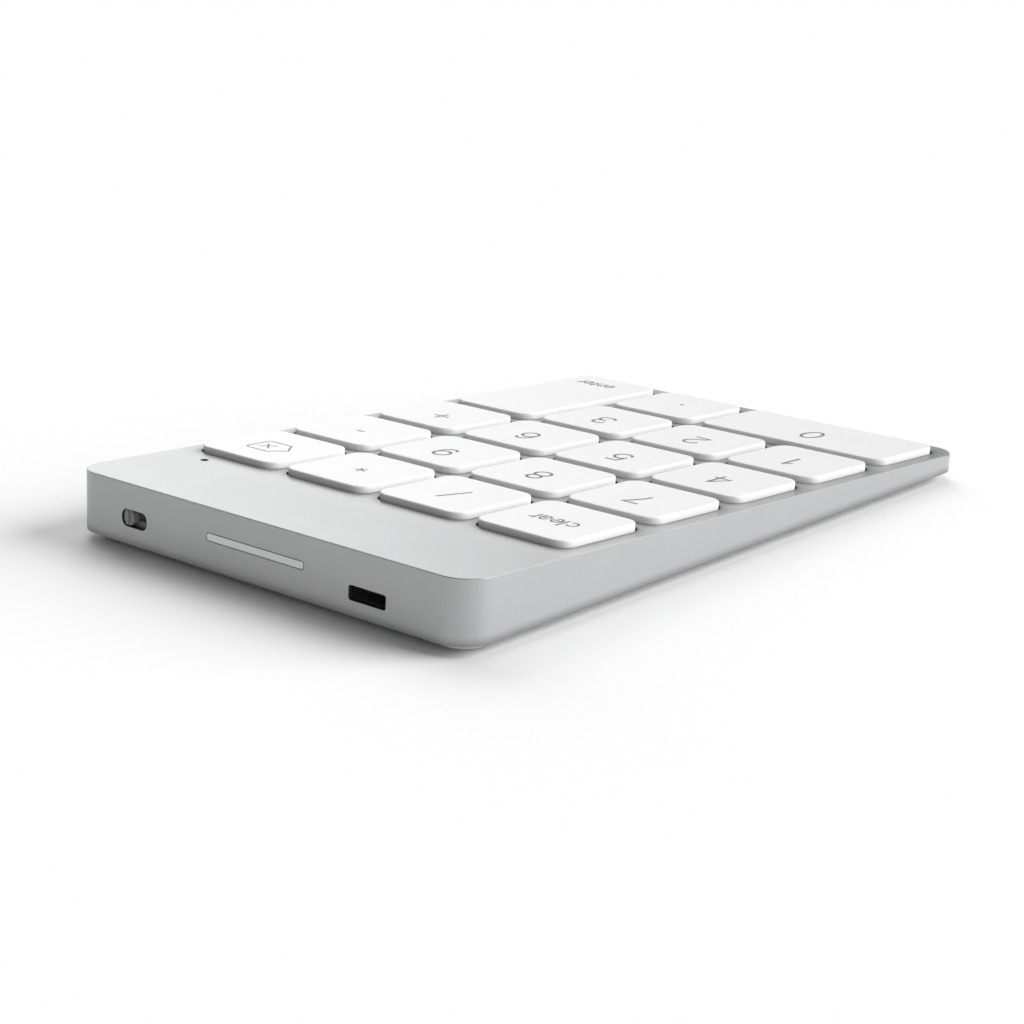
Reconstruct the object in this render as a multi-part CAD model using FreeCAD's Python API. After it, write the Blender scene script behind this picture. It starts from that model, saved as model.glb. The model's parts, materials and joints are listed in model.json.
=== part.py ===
import FreeCAD, Part
import math
import os

# Numeric keypad: a wedge shaped aluminium housing with eighteen scissor keys.
# All lengths are millimetres.
#
# Two frames are used.  The deck frame lies in the sloping top surface of the
# housing: x runs to the user's right, y runs up the slope to the back edge,
# w stands square to the surface, and the origin is under the centre of the
# middle row of keys.  The row frame stands on the desk: +Z up, +Y to the
# back, origin in the middle of the footprint.  Pieces are drawn in the deck
# frame and carried over by on_deck(); the cover, its screws, the feet and the
# battery lie flat on the desk and are drawn in the row frame.

# ---- keys ----
KEY_PITCH = 19.0          # standard full size key spacing
CAP_SIZE = 16.6           # side of a single key cap
CAP_CORNER = 2.4          # plan corner radius of a cap
CAP_RISE = 1.0            # cap top above the deck
CAP_SKIRT = 0.95          # cap skirt below the deck
CAP_WALL = 0.9
CAP_ROOF = 0.7
CAP_EDGE = 0.25           # rounding of the cap's top edge
KEY_TRAVEL = 1.1
APERTURE_GAP = 0.3        # between a cap and the edge of its opening

# ---- housing ----
BODY_WIDTH = 79.0
FRONT_MARGIN = 3.4        # deck in front of the first row of caps
BACK_STRIP = 21.2         # deck behind the last row of caps
BODY_CORNER = 4.7
BACK_WALL_HEIGHT = 9.0    # walls are measured square to the deck
FRONT_WALL_HEIGHT = 2.7
WALL = 1.1
DECK_THICKNESS = 1.1
EDGE_CHAMFER = 0.12

# ---- cover and feet ----
FOOT_HEIGHT = 0.75
FOOT_RADIUS = 4.5
FOOT_X = 28.0
FOOT_Y = 49.0
FOOT_ROUNDING = 0.25
COVER_DROP = 0.85         # how far the cover stands below the walls
COVER_PLATE = 0.6
COVER_INSET = 1.25        # from the housing's outline to the cover's edge
COVER_RIM = 0.6           # thickness of the upright rim
COVER_RIM_RISE = 0.55     # rim height above the cover plate
COVER_EDGE = 0.4
PAD_RADIUS = 2.5          # raised pad round each cover screw
PAD_RISE = 1.0

# ---- openings in the back wall and the deck ----
SWITCH_X = 25.5
SWITCH_DEPTH = 5.14       # below the deck, square to it
SWITCH_SLOT = (5.55, 2.6, 1.15)        # width, height, corner radius
ANTENNA_DEPTH = 4.3
ANTENNA_SLOT = (19.7, 1.28, 0.45)
SOCKET_X = -21.8
SOCKET_DEPTH = 5.9
SOCKET_SLOT = (6.9, 2.1, 0.45)
LIGHT_X = 31.1
LIGHT_Y = 49.7
LIGHT_HOLE_RADIUS = 0.65

# ---- stack under the deck (heights w in the deck frame) ----
MEMBRANE_TOP = -2.35
MEMBRANE_THICKNESS = 0.15
BACKPLATE_THICKNESS = 0.3
BACKPLATE_HALF_WIDTH = 37.35
BACKPLATE_FRONT = -47.4
BACKPLATE_BACK = 47.4
BOARD_TOP = -7.15
BOARD_THICKNESS = 0.8
BOARD_HALF_WIDTH = 33.0
BOARD_FRONT = 48.6
BOARD_BACK = 65.4

# ---- scissor under each key ----
SCISSOR_REACH = 5.0       # from the middle of the key to each bar
BAR_RADIUS = 0.33
TOP_BAR_W = -0.15
BOTTOM_BAR_W = -1.95
OUTER_ARM_X = 5.7
INNER_ARM_X = 4.3
ARM_WIDTH = 1.0
CLIP_X = 2.6              # cap clips over the two upper bars
CLIP_SIZE = (1.6, 1.5, 0.9)
OUTER_HOOK_X = 4.4        # plate hooks over the two lower bars
INNER_HOOK_X = 0.9
HOOK_WIDTH = 1.2
HOOK_TOP = -1.35
HOOK_SHEET = 0.2
HOOK_OFFSET = 0.5         # from the bar's axis to the upright of the hook
HOOK_UPRIGHT = 0.4
PIVOT_BOSS_RADIUS = 0.55
PIVOT_PIN_RADIUS = 0.2
DOME = (2.8, 1.5, 1.7, 0.35)           # foot radius, neck radius, skirt height, skin

# ---- stabiliser wire of the two long keys ----
WIRE_RADIUS = 0.3
WIRE_ARM = 6.0            # pivot to long bar
WIRE_HALF_SPAN = 14.5     # middle of the key to each arm
WIRE_TIP = 1.6            # turned out end that sits in the hook
WIRE_BEND = 0.5
PIVOT_W = -1.55
WIRE_BAR_W = -0.8         # long bar at rest
WIRE_CLIP_AT = 9.5        # cap clips, from the middle of the key
WIRE_CLIP_SIZE = (1.6, 1.0)            # along the bar, across it
WIRE_FROM_MIDDLE_X = 6.75 # long bar of the tall key, left of its middle
WIRE_FROM_MIDDLE_Y = 6.6  # long bar of the wide key, in front of its middle
HOLDER_SIZE = (0.8, 1.6)  # pivot holder on the plate: along the wire, across
HOLDER_TOP = -1.0
FIT_GAP = 0.08            # running gap round small pins and wires

# ---- screws ----
PLATE_SCREW_RADIUS = 0.7
PLATE_BOSS_RADIUS = 1.8
COVER_SCREW_RADIUS = 0.8
COVER_POST_RADIUS = 1.9
BOARD_BOSS_RADIUS = 1.7
BORE_GAP = 0.05           # thread bore round a plain shank
CROSS_DEPTH = 0.22
CROSS_WIDTH = 0.34

COVER_SHANK = 1.6         # screw length above the cover's pad
COVER_HEAD = (1.4, 0.5)   # radius, height
SMALL_HEAD = (1.2, 0.4)
PLATE_SHANK = 1.7
BOARD_SHANK = 3.0
COVER_DRIVE = 1.7         # length of the cross recess
SMALL_DRIVE = 1.4

# ---- power switch ----
SWITCH_KNOB = (2.2, 2.3, 0.9)          # width, height, corner radius
SWITCH_RECESS = 0.3       # knob face behind the wall's face
SWITCH_RIB = 0.5          # width of the finger rib on the knob
SWITCH_RIB_RISE = 0.35
SWITCH_STEM = (1.2, 1.0, 2.5)          # width, height, length
SWITCH_TRAVEL = 3.0
SWITCH_BODY = (8.4, 3.2)  # width, length
SWITCH_BODY_TOP = 1.75    # above the slot's middle
SWITCH_END_GAP = 0.1      # knob to the end of the slot at rest

# ---- charging socket ----
SHELL_THICKNESS = 0.25
SHELL_OPENING = (6.9, 1.85, 0.5)       # clear width, height, corner radius
SHELL_LENGTH = 5.0
SHELL_LEG_X = 3.2
TONGUE_WIDTH = 3.7
TONGUE_LEVELS = (0.12, 0.72)           # above the socket's middle
TONGUE_SETBACK = 0.65
CONTACT_COUNT = 5
CONTACT_PITCH = 0.65
CONTACT_WIDTH = 0.32

# ---- battery and board parts ----
BATTERY_SIZE = (44.0, 32.0, 3.0)
BATTERY_MIDDLE_Y = 20.6   # row frame, behind the two middle posts
BATTERY_LIFT = 0.1
LEAD_RADIUS = 0.35
LEADS_X = (-14.0, -12.6)
CONNECTOR = (13.0, 54.2, 57.8, 1.4)    # width, front, back, height
TAIL_WIDTH = 10.0
TAIL_PLUG_RISE = 0.85     # tail above the board inside its connector
RADIO_CHIP = (19.0, 55.5, 5.0, 0.85)   # x, y, side, height
CHARGER_CHIP = (-20.0, 55.0, 3.0, 0.75)
LAMP_SIZE = (1.6, 0.8, 0.6)
LIGHT_PIPE_TOP = -0.4

# ---- derived placing of the deck over the desk ----
ROW_SPAN = 4 * KEY_PITCH + CAP_SIZE
DECK_LENGTH = ROW_SPAN + FRONT_MARGIN + BACK_STRIP
DECK_FRONT = -ROW_SPAN / 2 - FRONT_MARGIN
DECK_BACK = DECK_FRONT + DECK_LENGTH
SLOPE = math.atan((BACK_WALL_HEIGHT - FRONT_WALL_HEIGHT) / DECK_LENGTH)
SIN = math.sin(SLOPE)
COS = math.cos(SLOPE)
BASE_Z = FOOT_HEIGHT + COVER_DROP      # underside of the walls
FRONT_Y = DECK_FRONT * COS + EDGE_CHAMFER * SIN
BACK_Y = DECK_BACK * COS + BACK_WALL_HEIGHT * SIN
SHIFT_Y = -(FRONT_Y + BACK_Y) / 2
SHIFT_Z = BASE_Z + FRONT_WALL_HEIGHT * COS - DECK_FRONT * SIN
DECK_PLACING = FreeCAD.Placement(
    FreeCAD.Vector(0, SHIFT_Y, SHIFT_Z),
    FreeCAD.Rotation(FreeCAD.Vector(1, 0, 0), math.degrees(SLOPE)),
)
PLATE_TOP = MEMBRANE_TOP - MEMBRANE_THICKNESS
PLATE_BOTTOM = PLATE_TOP - BACKPLATE_THICKNESS
BOARD_BOTTOM = BOARD_TOP - BOARD_THICKNESS
CAP_CEILING = CAP_RISE - CAP_ROOF
COVER_FLOOR_Z = FOOT_HEIGHT + COVER_PLATE
INNER_WALL = DECK_BACK - WALL          # inside face of the back wall
SWITCH_FRONT = INNER_WALL - 0.45
KNOB_X = SWITCH_X + (SWITCH_SLOT[0] - SWITCH_KNOB[0]) / 2 - SWITCH_END_GAP
SHELL_FRONT = INNER_WALL - 0.05
TINY = 1e-4

# name, column and row of the middle of each key, columns and rows it covers
KEYS = [
    ("clear", -1.5, 2, 1, 1), ("divide", -0.5, 2, 1, 1),
    ("multiply", 0.5, 2, 1, 1), ("backspace", 1.5, 2, 1, 1),
    ("7", -1.5, 1, 1, 1), ("8", -0.5, 1, 1, 1),
    ("9", 0.5, 1, 1, 1), ("minus", 1.5, 1, 1, 1),
    ("4", -1.5, 0, 1, 1), ("5", -0.5, 0, 1, 1),
    ("6", 0.5, 0, 1, 1), ("plus", 1.5, 0, 1, 1),
    ("1", -1.5, -1, 1, 1), ("2", -0.5, -1, 1, 1),
    ("3", 0.5, -1, 1, 1), ("enter", 1.5, -1.5, 1, 2),
    ("0", -1.0, -2, 2, 1), ("point", 0.5, -2, 1, 1),
]
# places, in key pitches, where four key openings meet and leave room for a boss
PLATE_SCREWS = [(-1, 1.5), (0, 1.5), (1, 1.5), (0, 0.5), (-1, -0.5), (0, -0.5), (1, -0.5)]
PLATE_PASSES = [(-1, 0.5), (1, 0.5), (0, -1.5)]
BOARD_SCREWS = [(-13.0, 61.5), (13.0, 61.5), (-30.0, 58.0)]
CORNER_POSTS = [(-35.6, 62.5), (35.6, 62.5)]

nodes = {}


def point(x, y, z):
    return FreeCAD.Vector(x, y, z)


def block(x_low, x_high, y_low, y_high, z_low, z_high):
    corner = point(x_low, y_low, z_low)
    return Part.makeBox(x_high - x_low, y_high - y_low, z_high - z_low, corner)


def centred_block(x, y, size_x, size_y, z_low, z_high):
    half_x = size_x / 2
    half_y = size_y / 2
    return block(x - half_x, x + half_x, y - half_y, y + half_y, z_low, z_high)


def edges_along(shape, axis):
    """The straight edges of a shape that run along one axis (0, 1 or 2)."""
    found = []
    for edge in shape.Edges:
        span = edge.Vertexes[-1].Point - edge.Vertexes[0].Point
        if abs(span[axis]) > TINY and abs(abs(span[axis]) - span.Length) < TINY:
            found.append(edge)
    return found


def edges_at_height(shape, z):
    return [e for e in shape.Edges if all(abs(v.Z - z) < TINY for v in e.Vertexes)]


def slab(x, y, size_x, size_y, z_low, z_high, radius):
    """A block with its four upright edges rounded."""
    body = centred_block(x, y, size_x, size_y, z_low, z_high)
    return body.makeFillet(radius, edges_along(body, 2))


def wall_slot(x, depth, slot, y_low, y_high, grow=0.0):
    """A rounded bar running along y, to cut or fill an opening in the back wall."""
    width, height, radius = slot
    half_x = width / 2 + grow
    half_w = height / 2 + grow
    bar = block(x - half_x, x + half_x, y_low, y_high, -depth - half_w, -depth + half_w)
    return bar.makeFillet(radius + grow, edges_along(bar, 1))


def rod(x, y, z_low, z_high, radius):
    return Part.makeCylinder(radius, z_high - z_low, point(x, y, z_low))


def cross_bar(x_low, x_high, y, w, radius):
    """A round bar along x."""
    return Part.makeCylinder(radius, x_high - x_low, point(x_low, y, w), point(1, 0, 0))


def bent_wire(corners, radius, bend):
    """A round wire through the corners, each turned with an arc of radius bend."""
    edges = []
    start = corners[0]
    for before, corner, after in zip(corners, corners[1:], corners[2:]):
        inward = (before - corner).normalize()
        outward = (after - corner).normalize()
        half_turn = inward.getAngle(outward) / 2
        reach = bend / math.tan(half_turn)
        entry = corner + inward * reach
        leave = corner + outward * reach
        bisector = (inward + outward).normalize()
        middle = corner + bisector * (bend / math.sin(half_turn) - bend)
        edges.append(Part.makeLine(start, entry))
        edges.append(Part.Arc(entry, middle, leave).toShape())
        start = leave
    edges.append(Part.makeLine(start, corners[-1]))
    direction = corners[1] - corners[0]
    profile = Part.Wire([Part.makeCircle(radius, corners[0], direction)])
    return Part.Wire(edges).makePipeShell([profile], True, False)


def on_deck(shape):
    """Carry a shape from the deck frame to the row frame."""
    placed = shape.copy()
    placed.Placement = DECK_PLACING.multiply(placed.Placement)
    return placed


def deck_to_row(x, y, w):
    return DECK_PLACING.multVec(point(x, y, w))


def below_plane(z):
    """Everything of the keypad under a level plane of the row frame."""
    reach = DECK_LENGTH
    return block(-reach, reach, -reach, reach, z - reach, z)


def key_centre(column, row):
    return column * KEY_PITCH, row * KEY_PITCH


def key_size(columns, rows):
    spare = KEY_PITCH - CAP_SIZE
    return columns * KEY_PITCH - spare, rows * KEY_PITCH - spare


# ---------------------------------------------------------------- keys
def bar_clip(x, y, size_x, size_y, low, bar_w, bar_radius, along_x):
    """A small block under the cap's roof with a round seat for a bar."""
    body = centred_block(x, y, size_x, size_y, low, CAP_CEILING + CAP_ROOF / 2)
    seat_radius = bar_radius + FIT_GAP + 0.04
    direction = point(1, 0, 0) if along_x else point(0, 1, 0)
    start = point(x, y, bar_w) - direction * (size_x + size_y)
    seat = Part.makeCylinder(seat_radius, 2 * (size_x + size_y), start, direction)
    throat = seat_radius * 0.8
    if along_x:
        mouth = centred_block(x, y, 2 * size_x, 2 * throat, low - 1, bar_w)
    else:
        mouth = centred_block(x, y, 2 * throat, 2 * size_y, low - 1, bar_w)
    return body.cut([seat, mouth])


def key_cap(column, row, columns, rows):
    x, y = key_centre(column, row)
    size_x, size_y = key_size(columns, rows)
    outer = slab(x, y, size_x, size_y, -CAP_SKIRT, CAP_RISE, CAP_CORNER)
    outer = outer.makeFillet(CAP_EDGE, edges_at_height(outer, CAP_RISE))
    inner_x = size_x - 2 * CAP_WALL
    inner_y = size_y - 2 * CAP_WALL
    hollow = slab(x, y, inner_x, inner_y, -CAP_SKIRT - 1, CAP_CEILING, CAP_CORNER - CAP_WALL)
    cap = outer.cut(hollow)
    width, length, height = CLIP_SIZE
    long, short = WIRE_CLIP_SIZE
    clips = []
    for side in (-1, 1):
        for end in (-1, 1):
            clip_x = x + side * CLIP_X
            clip_y = y + end * SCISSOR_REACH
            low = CAP_CEILING - height
            clips.append(bar_clip(clip_x, clip_y, width, length, low, TOP_BAR_W, BAR_RADIUS, True))
    if columns > 1:
        bar_y = y - wire_offset(True)
        for side in (-1, 1):
            clip_x = x + side * WIRE_CLIP_AT
            clips.append(bar_clip(clip_x, bar_y, long, short, -CAP_SKIRT, WIRE_BAR_W, WIRE_RADIUS, True))
    if rows > 1:
        bar_x = x - wire_offset(False)
        for side in (-1, 1):
            clip_y = y + side * WIRE_CLIP_AT
            clips.append(bar_clip(bar_x, clip_y, short, long, -CAP_SKIRT, WIRE_BAR_W, WIRE_RADIUS, False))
    return cap.fuse(clips).removeSplitter()


def wire_offset(along_x):
    """Distance from the middle of the key to the stabiliser's long bar."""
    return WIRE_FROM_MIDDLE_Y if along_x else WIRE_FROM_MIDDLE_X


def link(x, y_start, w_start, y_end, w_end):
    """A flat arm with round ends between two bar axes."""
    run = math.hypot(y_end - y_start, w_end - w_start)
    arm = block(x - ARM_WIDTH / 2, x + ARM_WIDTH / 2, 0, run, -BAR_RADIUS, BAR_RADIUS)
    tilt = math.degrees(math.atan2(w_end - w_start, y_end - y_start))
    arm.rotate(point(0, 0, 0), point(1, 0, 0), tilt)
    arm.translate(point(0, y_start, w_start))
    return arm


def scissor(column, row):
    """Two crossing frames, each a separate solid, hinged at the middle."""
    x, y = key_centre(column, row)
    low_y = y - SCISSOR_REACH
    high_y = y + SCISSOR_REACH
    middle_w = (TOP_BAR_W + BOTTOM_BAR_W) / 2
    half_arm = ARM_WIDTH / 2
    outer_reach = OUTER_ARM_X + half_arm
    inner_reach = INNER_ARM_X + half_arm
    outer = [
        cross_bar(x - outer_reach, x + outer_reach, low_y, BOTTOM_BAR_W, BAR_RADIUS),
        cross_bar(x - outer_reach, x + outer_reach, high_y, TOP_BAR_W, BAR_RADIUS),
    ]
    inner = [
        cross_bar(x - inner_reach, x + inner_reach, high_y, BOTTOM_BAR_W, BAR_RADIUS),
        cross_bar(x - inner_reach, x + inner_reach, low_y, TOP_BAR_W, BAR_RADIUS),
    ]
    holes = []
    for side in (-1, 1):
        outer_x = x + side * OUTER_ARM_X
        outer.append(link(outer_x, low_y, BOTTOM_BAR_W, high_y, TOP_BAR_W))
        outer.append(cross_bar(outer_x - half_arm, outer_x + half_arm, y, middle_w, PIVOT_BOSS_RADIUS))
        inner.append(link(x + side * INNER_ARM_X, high_y, BOTTOM_BAR_W, low_y, TOP_BAR_W))
        hole_radius = PIVOT_PIN_RADIUS + FIT_GAP
        holes.append(cross_bar(outer_x - half_arm, outer_x + half_arm, y, middle_w, hole_radius))
    pin_reach = outer_reach - 0.1
    arm_gap = inner_reach - ARM_WIDTH
    for low, high in ((-pin_reach, -arm_gap), (arm_gap, pin_reach)):
        inner.append(cross_bar(x + low, x + high, y, middle_w, PIVOT_PIN_RADIUS))
    outer_frame = outer[0].fuse(outer[1:]).cut(holes)
    inner_frame = inner[0].fuse(inner[1:])
    return Part.makeCompound(outer_frame.Solids + inner_frame.Solids)


def dome(column, row):
    """A hollow rubber dome with a solid button on top, standing on the membrane."""
    x, y = key_centre(column, row)
    foot_radius, neck_radius, skirt_height, skin = DOME
    foot = point(x, y, MEMBRANE_TOP)
    skirt = Part.makeCone(foot_radius, neck_radius, skirt_height, foot)
    neck_low = MEMBRANE_TOP + skirt_height
    neck = rod(x, y, neck_low, CAP_CEILING - 0.05, neck_radius)
    hollow = Part.makeCone(foot_radius - skin, neck_radius - skin, skirt_height - skin, foot)
    return skirt.fuse(neck).cut(hollow).removeSplitter()


def stabiliser(column, row, along_x):
    """The spring steel wire of a long key, a shallow U with turned out ends."""
    x, y = key_centre(column, row)
    half = WIRE_HALF_SPAN
    tip = half + WIRE_TIP
    bar = -wire_offset(along_x)
    pivot = bar + WIRE_ARM
    plan = [(-tip, pivot), (-half, pivot), (-half, bar), (half, bar), (half, pivot), (tip, pivot)]
    lift = math.degrees(math.asin((WIRE_BAR_W - PIVOT_W) / WIRE_ARM))
    if along_x:
        corners = [point(x + a, y + b, PIVOT_W) for a, b in plan]
        axis = point(1, 0, 0)
        turn = -lift
    else:
        corners = [point(x + b, y + a, PIVOT_W) for a, b in plan]
        axis = point(0, 1, 0)
        turn = lift
    wire = bent_wire(corners, WIRE_RADIUS, WIRE_BEND)
    wire.rotate(corners[0], axis, turn)
    return wire


# ---------------------------------------------------------------- plate and membrane
def plate_hook(x, y, outward):
    """A sheet hook over a lower scissor bar; outward is the side of its upright."""
    near = outward * HOOK_OFFSET
    far = outward * (HOOK_OFFSET + HOOK_UPRIGHT)
    half = HOOK_WIDTH / 2
    low, high = sorted((y + near, y + far))
    upright = block(x - half, x + half, low, high, PLATE_TOP - TINY, HOOK_TOP)
    low, high = sorted((y - outward * 0.4, y + far))
    lid = block(x - half, x + half, low, high, HOOK_TOP - HOOK_SHEET, HOOK_TOP)
    return upright.fuse(lid)


def hook_places(column, row):
    """Where the plate's hooks stand for one key: x, y of the bar and outward side."""
    x, y = key_centre(column, row)
    places = []
    for side in (-1, 1):
        places.append((x + side * OUTER_HOOK_X, y - SCISSOR_REACH, -1))
        places.append((x + side * INNER_HOOK_X, y + SCISSOR_REACH, 1))
    return places


def wire_holder_places():
    """Centre and plan size of each block that holds a stabiliser's turned end."""
    along, across = HOLDER_SIZE
    reach = WIRE_HALF_SPAN + WIRE_TIP - 0.7
    places = []
    for name, column, row, columns, rows in KEYS:
        x, y = key_centre(column, row)
        for side in (-1, 1):
            if columns > 1:
                pivot_y = y - wire_offset(True) + WIRE_ARM
                places.append((x + side * reach, pivot_y, along, across, True))
            if rows > 1:
                pivot_x = x - wire_offset(False) + WIRE_ARM
                places.append((pivot_x, y + side * reach, across, along, False))
    return places


def wire_holder(x, y, size_x, size_y, along_x):
    body = centred_block(x, y, size_x, size_y, PLATE_TOP - TINY, HOLDER_TOP)
    direction = point(1, 0, 0) if along_x else point(0, 1, 0)
    start = point(x, y, PIVOT_W) - direction * 2
    return body.cut(Part.makeCylinder(WIRE_RADIUS + FIT_GAP, 4, start, direction))


def plate_outline(inset, w_low, w_high, radius):
    middle_y = (BACKPLATE_FRONT + BACKPLATE_BACK) / 2
    size_x = 2 * (BACKPLATE_HALF_WIDTH - inset)
    size_y = BACKPLATE_BACK - BACKPLATE_FRONT - 2 * inset
    return slab(0, middle_y, size_x, size_y, w_low, w_high, radius)


def crossings(places):
    return [(a * KEY_PITCH, b * KEY_PITCH) for a, b in places]


def backplate():
    plate = plate_outline(0, PLATE_BOTTOM, PLATE_TOP, 3.2)
    shank = PLATE_SCREW_RADIUS + BORE_GAP
    holes = [rod(x, y, PLATE_BOTTOM - 1, PLATE_TOP + 1, shank) for x, y in crossings(PLATE_SCREWS)]
    clear = COVER_POST_RADIUS + 0.4
    holes += [rod(x, y, PLATE_BOTTOM - 1, PLATE_TOP + 1, clear) for x, y in crossings(PLATE_PASSES)]
    plate = plate.cut(holes)
    stands = []
    for name, column, row, columns, rows in KEYS:
        stands += [plate_hook(x, y, outward) for x, y, outward in hook_places(column, row)]
    stands += [wire_holder(*place) for place in wire_holder_places()]
    return plate.fuse(stands).removeSplitter()


def membrane():
    sheet = plate_outline(0.3, PLATE_TOP, MEMBRANE_TOP, 3.0)
    holes = []
    for x, y in crossings(PLATE_SCREWS + PLATE_PASSES):
        holes.append(rod(x, y, PLATE_TOP - 1, MEMBRANE_TOP + 1, COVER_POST_RADIUS + 0.4))
    for name, column, row, columns, rows in KEYS:
        for x, y, outward in hook_places(column, row):
            middle = y + outward * (HOOK_OFFSET + HOOK_UPRIGHT / 2)
            size_y = HOOK_UPRIGHT + 0.3
            size_x = HOOK_WIDTH + 0.3
            low = PLATE_TOP - 1
            holes.append(centred_block(x, middle, size_x, size_y, low, MEMBRANE_TOP + 1))
    for x, y, size_x, size_y, along_x in wire_holder_places():
        low = PLATE_TOP - 1
        holes.append(centred_block(x, y, size_x + 0.3, size_y + 0.3, low, MEMBRANE_TOP + 1))
    return sheet.cut(holes).fuse(membrane_tail()).removeSplitter()


def membrane_tail():
    """The strip that leaves the membrane's back edge and dips to the board."""
    half = MEMBRANE_THICKNESS / 2
    flat_w = MEMBRANE_TOP - half
    plug_w = BOARD_TOP + TAIL_PLUG_RISE
    mouth_y = CONNECTOR[1]
    path = [(BACKPLATE_BACK - 1.0, flat_w), (BACKPLATE_BACK + 2.0, flat_w),
            (mouth_y - 1.4, plug_w), (mouth_y + 1.8, plug_w)]
    upper = []
    lower = []
    for index, (y, w) in enumerate(path):
        before = path[max(index - 1, 0)]
        after = path[min(index + 1, len(path) - 1)]
        into = math.atan2(w - before[1], y - before[0]) if index else 0.0
        out = math.atan2(after[1] - w, after[0] - y) if index < len(path) - 1 else into
        normal = (into + out) / 2 + math.pi / 2
        reach = half / math.cos((out - into) / 2)
        aside = point(0, reach * math.cos(normal), reach * math.sin(normal))
        upper.append(point(-TAIL_WIDTH / 2, y, w) + aside)
        lower.append(point(-TAIL_WIDTH / 2, y, w) - aside)
    outline = upper + lower[::-1]
    face = Part.Face(Part.makePolygon(outline + [outline[0]]))
    return face.extrude(point(TAIL_WIDTH, 0, 0))


# ---------------------------------------------------------------- housing
def housing_block(inset, w_top, depth, radius):
    """The housing's outline, moved in by inset, from w_top down by depth."""
    middle = (DECK_FRONT + DECK_BACK) / 2
    size_x = BODY_WIDTH - 2 * inset
    size_y = DECK_LENGTH - 2 * inset
    return slab(0, middle, size_x, size_y, w_top - depth, w_top, radius)


def cover_post_places():
    """Row frame x, y of each upright post that takes a cover screw."""
    deck_places = crossings(PLATE_PASSES)
    places = [deck_to_row(x, y, PLATE_TOP) for x, y in deck_places]
    places += [deck_to_row(x, y, BOARD_TOP) for x, y in CORNER_POSTS]
    return [(place.x, place.y) for place in places]


def top_housing():
    deep = BACK_WALL_HEIGHT + 3
    outer = housing_block(0, 0, deep, BODY_CORNER)
    outer = outer.makeChamfer(EDGE_CHAMFER, edges_at_height(outer, 0))
    cavity = housing_block(WALL, -DECK_THICKNESS, deep, BODY_CORNER - WALL)
    cuts = [cavity]
    for name, column, row, columns, rows in KEYS:
        x, y = key_centre(column, row)
        size_x, size_y = key_size(columns, rows)
        gap = 2 * APERTURE_GAP
        radius = CAP_CORNER + APERTURE_GAP
        cuts.append(slab(x, y, size_x + gap, size_y + gap, -DECK_THICKNESS - 1, 1, radius))
    inside = DECK_BACK - WALL - 1
    outside = DECK_BACK + 1
    cuts.append(wall_slot(SWITCH_X, SWITCH_DEPTH, SWITCH_SLOT, inside, outside))
    cuts.append(wall_slot(0, ANTENNA_DEPTH, ANTENNA_SLOT, inside, outside))
    cuts.append(wall_slot(SOCKET_X, SOCKET_DEPTH, SOCKET_SLOT, inside, outside))
    cuts.append(rod(LIGHT_X, LIGHT_Y, -DECK_THICKNESS - 1, 1, LIGHT_HOLE_RADIUS))
    shell = outer.cut(cuts)
    embed = -DECK_THICKNESS / 2
    bosses = []
    bores = []
    for x, y in crossings(PLATE_SCREWS):
        bosses.append(rod(x, y, PLATE_TOP, embed, PLATE_BOSS_RADIUS))
        bores.append(rod(x, y, PLATE_TOP - 1, embed, PLATE_SCREW_RADIUS + BORE_GAP))
    for x, y in BOARD_SCREWS:
        bosses.append(rod(x, y, BOARD_TOP, embed, BOARD_BOSS_RADIUS))
        bores.append(rod(x, y, BOARD_TOP - 1, embed - 2, PLATE_SCREW_RADIUS + BORE_GAP))
    shell = on_deck(shell.fuse(bosses).cut(bores)).cut(below_plane(BASE_Z))
    room = on_deck(housing_block(WALL / 2, embed, deep, BODY_CORNER - WALL / 2))
    post_low = COVER_FLOOR_Z + PAD_RISE
    posts = []
    bores = []
    for x, y in cover_post_places():
        posts.append(rod(x, y, post_low, 2 * BACK_WALL_HEIGHT, COVER_POST_RADIUS).common(room))
        bore_radius = COVER_SCREW_RADIUS + BORE_GAP
        bores.append(rod(x, y, post_low - 1, post_low + COVER_SHANK, bore_radius))
    return shell.fuse(posts).cut(bores).removeSplitter()



def cover_outline(inset, z_low, z_high):
    """The level outline of the bottom of the housing, moved in by inset."""
    front = DECK_FRONT * COS + FRONT_WALL_HEIGHT * SIN + SHIFT_Y
    back = BACK_Y + SHIFT_Y
    size_x = BODY_WIDTH - 2 * inset
    size_y = back - front - 2 * inset
    return slab(0, (front + back) / 2, size_x, size_y, z_low, z_high, BODY_CORNER - inset)


def bottom_cover():
    rim_top = COVER_FLOOR_Z + COVER_RIM_RISE
    tray = cover_outline(COVER_INSET, FOOT_HEIGHT, rim_top)
    tray = tray.makeFillet(COVER_EDGE, edges_at_height(tray, FOOT_HEIGHT))
    tray = tray.cut(cover_outline(COVER_INSET + COVER_RIM, COVER_FLOOR_Z, rim_top + 1))
    pads = []
    holes = []
    for x, y in cover_post_places():
        pads.append(rod(x, y, FOOT_HEIGHT + COVER_PLATE / 2, COVER_FLOOR_Z + PAD_RISE, PAD_RADIUS))
        holes.append(rod(x, y, FOOT_HEIGHT - 1, COVER_FLOOR_Z, COVER_HEAD[0] + 0.15))
        holes.append(rod(x, y, FOOT_HEIGHT, 2 * PAD_RISE + COVER_FLOOR_Z, COVER_SCREW_RADIUS + 0.1))
    return tray.fuse(pads).cut(holes).removeSplitter()



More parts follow.
